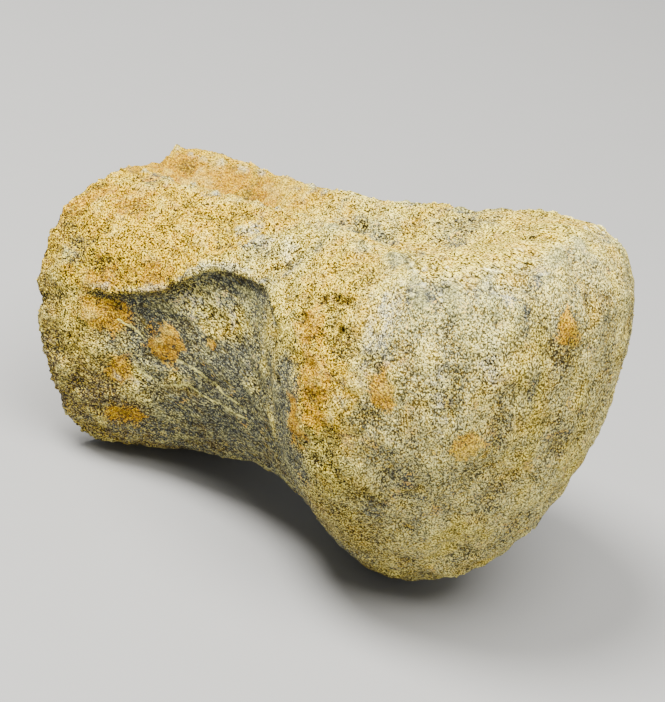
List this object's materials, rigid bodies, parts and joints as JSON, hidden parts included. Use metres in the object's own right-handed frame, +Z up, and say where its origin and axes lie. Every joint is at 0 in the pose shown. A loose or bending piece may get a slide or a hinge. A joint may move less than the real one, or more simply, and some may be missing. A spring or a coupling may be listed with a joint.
{
  "type": "fossil crocodile vertebra centrum",
  "caption": "Body of a large crocodile's vertebra, fossilised: a spool of bone with a hollow socket in front and a worn ball behind.",
  "frame": {"origin": "on the floor, under the middle of the bone's bounding box", "axes": "+X from the socket to the ball, +Y to the bone's left side, +Z up"},
  "size_m": [0.0952, 0.0576, 0.0689],
  "materials": {
    "fossil_bone": "dull, finely granular mineralised bone, cream to tan-yellow with grey-blue hollows and orange iron stains"
  },
  "bodies": {
    "root": {"centrum": "fossil_bone"}
  },
  "joints": []
}
